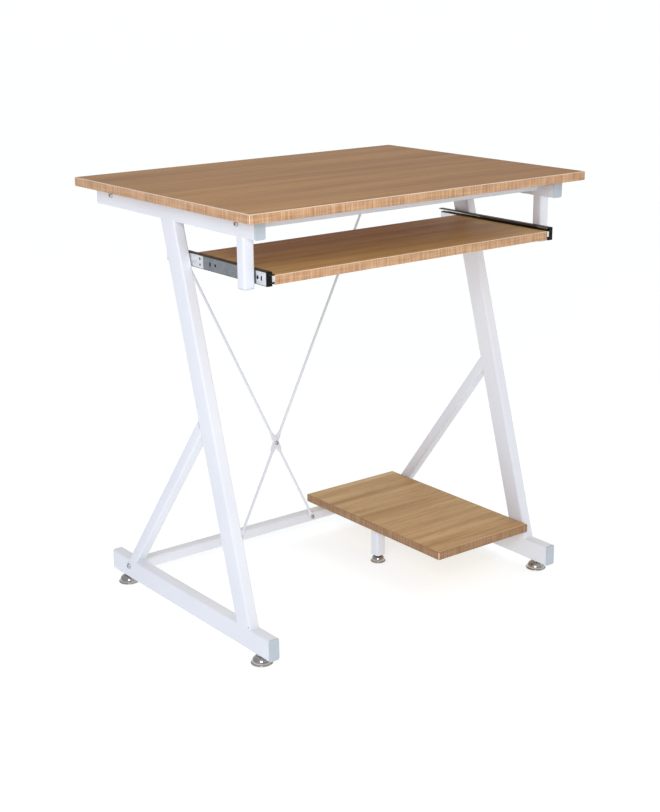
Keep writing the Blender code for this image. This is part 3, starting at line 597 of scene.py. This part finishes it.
ROD_RADIUS = 0.0024
ROD_TAB = (0.0055, 0.0013)  # half width, half thickness of the flats
ROD_TAB_HALF_LENGTH = 0.0065
ROD_NECK = 0.010
ROD_SHAPED = 0.03  # either side of a screw or the crossing, where the rings are close together


def flatness_at(distance, half_length):
    """1 on a flat, 0 on round rod, and a smooth step between."""
    t = np.clip((half_length + ROD_NECK - distance) / ROD_NECK, 0, 1)
    return t * t * (3 - 2 * t)


def add_rod(rod, foot_bolt, top_bolt, shift):
    """Ellipse-like ring (w |cos a|^p, t |sin a|^p) carried from screw to screw."""
    foot = sum(corners_of(foot_bolt)) / 2
    top = sum(corners_of(top_bolt)) / 2
    along = top - foot
    along[1] = 0
    length = np.linalg.norm(along)
    along /= length
    sideways = np.cross(along, Y)
    cross_at = length * abs(foot[0]) / (abs(foot[0]) + abs(top[0]))
    round_end = ROD_TAB_HALF_LENGTH
    near, far = cross_at - ROD_SHAPED, cross_at + ROD_SHAPED
    s = np.unique(np.concatenate([
        np.linspace(-round_end, ROD_SHAPED, 22), np.linspace(ROD_SHAPED, near, 12),
        np.linspace(near, far, 32), np.linspace(far, length - ROD_SHAPED, 16),
        np.linspace(length - ROD_SHAPED, length + round_end, 22),
    ]))
    ends = flatness_at(np.minimum(np.abs(s), np.abs(s - length)), ROD_TAB_HALF_LENGTH)
    crossing = flatness_at(np.abs(s - cross_at), 2 * ROD_TAB_HALF_LENGTH)
    flat = np.maximum(ends, crossing)
    tip = np.clip(1 - np.maximum(-s, s - length) / round_end, 0.0, 1) ** 0.4
    tip = np.where((s < 0) | (s > length), np.maximum(tip, 0.35), 1)
    wide = (ROD_RADIUS + (ROD_TAB[0] - ROD_RADIUS) * flat) * tip
    thick = ROD_RADIUS + (ROD_TAB[1] - ROD_RADIUS) * flat
    power = 1 - 0.45 * flat[:, None]
    angle = np.linspace(0, 2 * np.pi, 20, endpoint=False)
    cosine, sine = np.cos(angle), np.sin(angle)
    across = np.sign(cosine) * np.abs(cosine) ** power * wide[:, None]
    deep = np.sign(sine) * np.abs(sine) ** power * thick[:, None]
    bar_low = corners_of("lower_crossbar")[0][1]
    bar_high = corners_of("top_crossbar_rear")[0][1]
    face = bar_low + (bar_high - bar_low) * s / length
    middle = face - CLEARANCE - (ROD_RADIUS + (ROD_TAB[1] - ROD_RADIUS) * ends) + shift * crossing
    centre = foot + s[:, None] * along
    centre[:, 1] = middle
    rings = centre[:, None] + across[..., None] * sideways + deep[..., None] * Y
    made = mesh_object("coated_" + rod, rings, closed_faces(rings), [powder_coat], sharp=50)
    add_piece("frame", [rod], made)


crossing_shift = ROD_TAB[1] + CLEARANCE / 2
for rising, shift in (("rising_left", -crossing_shift), ("rising_right", crossing_shift)):
    add_rod(f"brace_rod_{rising}", f"rod_bolt_foot_{rising}", f"rod_bolt_top_{rising}", shift)

# ---- Levelling glides --------------------------------------------------------------------
# Pressed domes of thin chromed steel with a rolled rim, each on a threaded stud that screws
# up into its tube to level the desk.

GLIDE_RIM_ROLL = 0.0011
GLIDE_SKIRT = (0.0019, 0.0021)  # where the dome starts: inside the rim, above the floor
GLIDE_COLLAR = (0.0065, 0.0025)  # radius, height
STUD_PITCH = 0.00125
STUD_CREST = 0.0040
THREAD_DEPTH = 0.0006
STUD_NECK = 0.0036
STUD_TIP = 0.0032
CHAMFER = 0.0004  # at the top of the collar, and twice as much at the stud's tip


def make_chrome():
    """Chrome, slightly hazed and with faint draw lines; its base colour is darkened and warmed as a
    painted dark reflection.
    """
    material, tree, shader = new_material("glide_chrome", 0.12, 1.0)
    haze = pattern(tree, (60, 60, 60), 3)
    # darkened, warm base colour: a painted dark reflection
    colour = ramp(tree, haze, (0.3, (0.34, 0.32, 0.29)), (0.7, (0.52, 0.50, 0.47)))
    tree.links.new(colour, shader.inputs["Base Color"])
    tree.links.new(ramp(tree, haze, (0.3, 0.07), (0.75, 0.24)), shader.inputs["Roughness"])
    draw = pattern(tree, (900, 900, 120), 2)
    raise_surface(tree, shader, draw, 0.00003)
    return material


chrome = make_chrome()


def add_glide(glide, top):
    """Rolled rim, then a quarter ellipse up to the collar, then a stud with a sawtooth thread."""
    low, high = corners_of(glide)
    origin = np.array([(low[0] + high[0]) / 2, (low[1] + high[1]) / 2, 0])
    radius = (high[0] - low[0]) / 2
    roll = np.radians(np.linspace(-90, 60, 9))
    rim_r = radius - GLIDE_RIM_ROLL + GLIDE_RIM_ROLL * np.cos(roll)
    rim_z = GLIDE_RIM_ROLL + GLIDE_RIM_ROLL * np.sin(roll)
    rise = np.radians(np.linspace(4, 90, 16))
    skirt_in, skirt_z = GLIDE_SKIRT
    collar, collar_height = GLIDE_COLLAR
    dome_r = collar + (radius - skirt_in - collar) * np.cos(rise)
    dome_z = skirt_z + (top - collar_height - skirt_z) * np.sin(rise)
    tip = high[2]
    turns = np.arange(top + CLEARANCE, tip - 2 * CHAMFER, STUD_PITCH / 4)
    thread = STUD_CREST - THREAD_DEPTH * np.abs((turns / STUD_PITCH) % 1 - 0.5) * 2
    stud = [STUD_NECK, *thread, STUD_TIP, 0]
    radii = [0, radius - GLIDE_RIM_ROLL, *rim_r, *dome_r, collar, collar - CHAMFER, *stud]
    heights = [0, 0, *rim_z, *dome_z, top - CHAMFER, top, top, *turns, tip, tip]
    rings = turned_rings(radii, heights, origin, Z, 56)
    add_turned("chromed_" + glide, glide, [glide], rings, chrome, sharp=50)


foot_low = corners_of("foot_rail_left")[0][2] - CLEARANCE
for place in ("front_left", "front_right", "rear_left", "rear_right"):
    add_glide(f"glide_{place}", foot_low)
add_glide("glide_shelf", corners_of("shelf_leg")[0][2] - CLEARANCE)

# ---- Keyboard slides ---------------------------------------------------------------------
# Ball-bearing slides of thin zinc-plated steel, one screwed inside each frame and to each edge
# of the tray. Their running flanges and the ball cages are painted near-black, as painted shade.
# The web is bright at both ends, with painted shade dulling it between them. Black plastic stops
# close the front ends, and a bright tab and two black clips finish the member that moves with
# the tray.

SLIDE_STEEL = 0.0012
PAINTED_SHADE_STRETCH = (-0.206, -0.062)  # of the web, along Y, dulled as painted shade
OUTER_FLANGE = 0.0014  # strip of near-black painted shade at the top and bottom of each web
INNER_FLANGE = 0.0016
STOP_DEPTH = 0.0098  # of the front stop, from the frame inwards
STOP_HOLLOW = 0.0088  # to the opening that the moving member fills
STOP_PLAY = 0.0004  # round the moving member
STOP_BEVEL = 0.0005
TAB_BEVEL_SHARE = 0.3  # of a stop's bevel
TAB_START = 0.0092  # from the frame inwards
TAB_PLAY = 0.0001
TAB_SPAN = (-0.0003, 0.0006)  # along Y from the stop's front face
CLIP_START = 0.0084  # from the frame inwards
CLIP_LAP = (0.0002, 0.0006)  # under the mouth's edge, past the moving member's lip
CLIP_PROUD = 0.0014  # in front of the moving member


def band(tree, value, low, high, blur):
    """1 between low and high, and 0 past a blur outside them."""
    rise = {"Value": value, "From Min": low - blur, "From Max": low}
    fall = {"Value": value, "From Min": high, "From Max": high + blur, "To Min": 1.0, "To Max": 0.0}
    up = node(tree, "MapRange", rise).outputs["Result"]
    down = node(tree, "MapRange", fall).outputs["Result"]
    return node(tree, "Math", {0: up, 1: down}, operation="MULTIPLY").outputs[0]


def blend_colours(tree, factor, first, second):
    """First at 0, second at 1."""
    inputs = {0: factor, 6: first, 7: second}
    return node(tree, "Mix", inputs, data_type="RGBA").outputs[2]


def make_shaded_zinc(name, web_low, web_high):
    """Bright spangled zinc, with painted shade dulling the middle of the web, and near-black painted
    shade above and below it.
    """
    material, tree, shader = new_material(name, 0.4, 1.0)
    place = node(tree, "TexCoord", {}).outputs["Object"]
    split = node(tree, "SeparateXYZ", {"Vector": place}).outputs
    spangle = pattern(tree, (160, 60, 160), 3)
    bright = ramp(tree, spangle, (0.3, (0.70, 0.72, 0.73)), (0.7, (0.86, 0.87, 0.88)))
    # painted shade: the web's dull middle stretch
    painted_shade_web = ramp(tree, spangle, (0.3, (0.21, 0.225, 0.245)), (0.7, (0.28, 0.295, 0.32)))
    # painted shade: the near-black flanges above and below the web, and the cages
    painted_shade_flange = ramp(tree, spangle, (0.3, (0.050, 0.044, 0.034)), (0.7, (0.115, 0.098, 0.068)))
    # mask of the web's middle stretch of painted shade
    middle = band(tree, split["Y"], *PAINTED_SHADE_STRETCH, 0.002)
    web = blend_colours(tree, middle, bright, painted_shade_web)
    on_web = band(tree, split["Z"], web_low, web_high, 0.0003)
    tree.links.new(blend_colours(tree, on_web, painted_shade_flange, web), shader.inputs["Base Color"])
    rolled = pattern(tree, (1500, 12, 1500), 2)
    tree.links.new(ramp(tree, rolled, (0.3, 0.36), (0.7, 0.52)), shader.inputs["Roughness"])
    raise_surface(tree, shader, rolled, 0.00004)
    return material


def make_black_plastic():
    """Black plastic with a fine grain."""
    material, tree, shader = new_material("black_stop_plastic", 0.38, 0.0, 0.12)
    drift = pattern(tree, (200, 200, 200), 2)
    colour = ramp(tree, drift, (0.3, (0.002, 0.002, 0.0022)), (0.7, (0.006, 0.006, 0.0065)))
    tree.links.new(colour, shader.inputs["Base Color"])
    grain = pattern(tree, (2200, 2200, 2200), 1)
    tree.links.new(ramp(tree, grain, (0.3, 0.30), (0.7, 0.48)), shader.inputs["Roughness"])
    raise_surface(tree, shader, grain, 0.00005)
    return material


def dress(node_name, material):
    """Gives a CAD node its finish."""
    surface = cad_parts[node_name].data.materials
    surface.clear()
    surface.append(material)


def add_slide_end(name, body, replaced, slot, outline, web_x, inward, middle_z, span, material):
    """Outline of (distance from the frame, height) carried straight along Y, edges bevelled."""
    outline = np.array(outline)
    across = web_x + inward * outline[:, 0]
    up = middle_z + outline[:, 1]
    rings = np.array([np.stack([across, np.full(len(outline), y), up], -1) for y in span])
    made = mesh_object(name, rings, closed_faces(rings), [material], sharp=40)
    bevel = made.modifiers.new("moulded_edges", "BEVEL")
    bevel.width = STOP_BEVEL if material is black_plastic else STOP_BEVEL * TAB_BEVEL_SHARE
    bevel.segments = 3
    add_piece(body, replaced, made)


def square(u_low, u_high, v_low, v_high):
    """Its four corners, anticlockwise."""
    return [(u_low, v_low), (u_high, v_low), (u_high, v_high), (u_low, v_high)]


black_plastic = make_black_plastic()
outer_low, outer_high = corners_of("slide_outer_left")
inner_low, inner_high = corners_of("slide_inner_left")
outer_zinc = make_shaded_zinc("outer_slide_zinc", outer_low[2] + OUTER_FLANGE, outer_high[2] - OUTER_FLANGE)
inner_zinc = make_shaded_zinc("inner_slide_zinc", inner_low[2] + INNER_FLANGE, inner_high[2] - INNER_FLANGE)
painted_shade_cage = make_shaded_zinc("painted_shade_cage_steel", 0.0, 0.001)  # no web at a cage's height: all painted shade
middle_z = (outer_low[2] + outer_high[2]) / 2
half_outer = (outer_high[2] - outer_low[2]) / 2
half_inner = (inner_high[2] - inner_low[2]) / 2
inner_reach = inner_low[0] - outer_low[0]  # from the web of one member to the lips of the other
full_reach = inner_high[0] - outer_low[0]
stop_front = corners_of("slide_bumper_left")[0][1]
stop_rear = outer_low[1] - CLEARANCE
throat = half_inner + STOP_PLAY
mouth = half_inner - SLIDE_STEEL - STOP_PLAY
lip = inner_reach - STOP_PLAY
lower_half = [
    (0, -half_outer), (STOP_DEPTH, -half_outer), (STOP_DEPTH, -throat), (lip, -throat),
    (lip, -mouth), (STOP_HOLLOW, -mouth),
]
stop_outline = lower_half + [(u, -v) for u, v in reversed(lower_half)]
tab_half = mouth - TAB_PLAY
tab_reach = full_reach - TAB_PLAY
tab_span = (stop_front + TAB_SPAN[0], stop_front + TAB_SPAN[1])
clip_span = (stop_front - CLIP_PROUD, stop_front + STOP_PLAY)
for side, inward in (("left", 1), ("right", -1)):
    dress(f"slide_outer_{side}", outer_zinc)
    dress(f"slide_inner_{side}", inner_zinc)
    dress(f"ball_cage_{side}", painted_shade_cage)
    low, high = corners_of(f"slide_outer_{side}")
    web_x = low[0] if inward > 0 else high[0]
    place = (web_x, inward, middle_z)
    add_slide_end(
        f"front_stop_{side}", "frame", [f"slide_bumper_{side}"], "black_plastic",
        stop_outline, *place, (stop_front, stop_rear), black_plastic,
    )
    add_slide_end(
        f"bright_tab_{side}", "tray", [], "zinc_slide",
        square(TAB_START, tab_reach, -tab_half, tab_half), *place, tab_span, inner_zinc,
    )
    for level, sign in (("upper", 1), ("lower", -1)):
        heights = sorted((sign * (mouth - CLIP_LAP[0]), sign * (half_inner + CLIP_LAP[1])))
        add_slide_end(
            f"{level}_clip_{side}", "tray", [], "black_plastic",
            square(CLIP_START, tab_reach, *heights), *place, clip_span, black_plastic,
        )

# ---- Shelf supports ----------------------------------------------------------------------
# A steel plate bolted inside the right foot rail takes the support rail's end, and two
# plastic spacers stand on the lower crossbar under the shelf's rear edge.

dress("shelf_bracket", powder_coat)
dress("shelf_spacer_left", post_cap_plastic)
dress("shelf_spacer_right", post_cap_plastic)

# ---- Boards ------------------------------------------------------------------------------
# Particle board faced with oak-pattern laminate, the grain running across the desk. The
# edges carry an orange-brown edging tape, and the trimmed arrises show as a pale line on the
# desktop and the tray. The shelf's tape and long arrises use a darker copy of the tape, as
# painted shade. Each board's laminate is multiplied by its own tone, which holds painted light
# as well as colour: darker on the desktop, lighter on the tray and the shelf.

ARRIS = 0.0009
# board tones: the laminate's colour with painted light in it; the desktop's is darker, the tray's and
# the shelf's lighter
DESKTOP_TINT_AND_PAINTED_LIGHT = (0.68, 0.59, 0.38)
TRAY_TINT_AND_PAINTED_LIGHT = (1.08, 1.18, 1.04)
SHELF_TINT_AND_PAINTED_LIGHT = (0.93, 1.07, 1.24)
TAPE = ((0.320, 0.165, 0.078), (0.520, 0.300, 0.160), (0.690, 0.450, 0.270))  # dark, mid, light
# the shelf's tape: a darker copy of the tape, as painted shade
SHADED_TAPE = ((0.200, 0.100, 0.045), (0.330, 0.185, 0.090), (0.440, 0.270, 0.150))


def product(tree, first, second):
    """Colour times colour."""
    made = node(tree, "Mix", {0: 1.0, 6: first, 7: second}, data_type="RGBA", blend_type="MULTIPLY")
    return made.outputs[2]


def total(tree, first, second, share):
    """first * (1 - share) + second * share, for greys."""
    return node(tree, "Mix", {0: share, 2: first, 3: second}, data_type="FLOAT").outputs[0]


def make_laminate(name, tone):
    """Long bands, veins and fibre along X with fine dark pores, under a tone for the board that also
    holds painted light.
    """
    material, tree, shader = new_material(name, 0.42, 0.0, 0.12)
    bands = pattern(tree, (1.3, 24, 24), 3, 0.55)
    veins = pattern(tree, (3.2, 85, 85), 4, 0.6)
    fibre = pattern(tree, (14, 480, 480), 3, 0.6)
    grain = total(tree, total(tree, bands, veins, 0.42), fibre, 0.20)
    colour = ramp(
        tree, grain,
        (0.37, (0.405, 0.195, 0.066)), (0.47, (0.530, 0.285, 0.112)),
        (0.55, (0.610, 0.345, 0.147)), (0.65, (0.705, 0.430, 0.208)),
    )
    pores = pattern(tree, (38, 900, 900), 2, 0.5)
    pore_tint = ramp(tree, pores, (0.30, (0.76, 0.70, 0.62)), (0.42, (1.0, 1.0, 1.0)))
    printed = product(tree, colour, pore_tint)
    drift = pattern(tree, (3, 3, 3), 1)
    # the board's tone, painted light included, drifting slightly
    toned = ramp(tree, drift, (0.3, tuple(0.96 * c for c in tone)), (0.7, tone))
    tree.links.new(product(tree, printed, toned), shader.inputs["Base Color"])
    tree.links.new(ramp(tree, fibre, (0.3, 0.37), (0.7, 0.48)), shader.inputs["Roughness"])
    raise_surface(tree, shader, total(tree, fibre, pores, 0.5), 0.00004)
    return material


def make_edging(name, dark, mid, light):
    """Ticks across the tape and faint streaks along it, on (x + y, z)."""
    material, tree, shader = new_material(name, 0.42, 0.0, 0.3)
    place = node(tree, "TexCoord", {}).outputs["Object"]
    split = node(tree, "SeparateXYZ", {"Vector": place}).outputs
    run = node(tree, "Math", {0: split["X"], 1: split["Y"]}, operation="ADD").outputs[0]
    flat = node(tree, "CombineXYZ", {"X": run, "Y": split["Z"]}).outputs[0]

    def marks(scale, detail):
        """Noise on the unrolled tape, stretched by a scale."""
        moved = node(tree, "Mapping", {"Vector": flat, "Scale": scale}).outputs["Vector"]
        return node(tree, "TexNoise", {"Vector": moved, "Scale": 1.0, "Detail": detail}).outputs["Fac"]

    ticks = marks((560, 20, 1), 1.0)
    streaks = marks((16, 420, 1), 2)
    blotch = marks((22, 60, 1), 2)
    mixed = total(tree, total(tree, ticks, streaks, 0.34), blotch, 0.22)
    colour = ramp(tree, mixed, (0.33, dark), (0.50, mid), (0.66, light))
    tree.links.new(colour, shader.inputs["Base Color"])
    tree.links.new(ramp(tree, ticks, (0.3, 0.36), (0.7, 0.50)), shader.inputs["Roughness"])
    raise_surface(tree, shader, ticks, 0.00006)
    return material


def make_arris():
    """Pale trimmed edge, worn and scraped."""
    material, tree, shader = new_material("trimmed_arris", 0.55)
    wear = pattern(tree, (60, 60, 60), 3)
    colour = ramp(tree, wear, (0.3, (0.74, 0.61, 0.47)), (0.7, (0.86, 0.75, 0.62)))
    tree.links.new(colour, shader.inputs["Base Color"])
    scrape = pattern(tree, (900, 900, 900), 2)
    tree.links.new(ramp(tree, scrape, (0.3, 0.45), (0.7, 0.65)), shader.inputs["Roughness"])
    raise_surface(tree, shader, scrape, 0.00005)
    return material


edging = make_edging("edging_tape", *TAPE)
# the shelf's tape and arrises, as painted shade
shaded_edging = make_edging("shaded_edging_tape", *SHADED_TAPE)
arris = make_arris()


def add_board(board, body, tone, tape, top_arris):
    """Outline with its corners cut by d, drawn in by d at the top and the bottom: 8 x 4 points."""
    low, high = corners_of(board)
    centre = (low + high) / 2
    half = (high - low) / 2
    heights = np.array([low[2], low[2] + ARRIS, high[2] - ARRIS, high[2]])
    insets = np.array([ARRIS, 0, 0, ARRIS])[:, None]
    sign_x = np.array([1, 1, 1, -1, -1, -1, -1, 1])
    sign_y = np.array([-1, 1, 1, 1, 1, -1, -1, -1])
    cut_x = np.array([0, 0, 1, 1, 0, 0, 1, 1]) * ARRIS
    cut_y = np.array([1, 1, 0, 0, 1, 1, 0, 0]) * ARRIS
    ring_x = centre[0] + sign_x * (half[0] - insets - cut_x)
    ring_y = centre[1] + sign_y * (half[1] - insets - cut_y)
    rings = np.stack([ring_x, ring_y, np.broadcast_to(heights[:, None], ring_x.shape)], -1)
    faces = closed_faces(rings)
    finishes = np.concatenate([np.full(8, 1), np.tile([1, 3], 4), np.full(8, 2), [0, 0]])
    materials = [make_laminate("oak_laminate_" + board, tone), tape, top_arris, arris]
    made = mesh_object("laminated_" + board, rings, faces, materials, finishes, sharp=20)
    add_piece(body, [board], made)


add_board("desktop_panel", "frame", DESKTOP_TINT_AND_PAINTED_LIGHT, edging, arris)
add_board("keyboard_tray", "tray", TRAY_TINT_AND_PAINTED_LIGHT, edging, arris)
add_board("cpu_shelf", "frame", SHELF_TINT_AND_PAINTED_LIGHT, shaded_edging, shaded_edging)
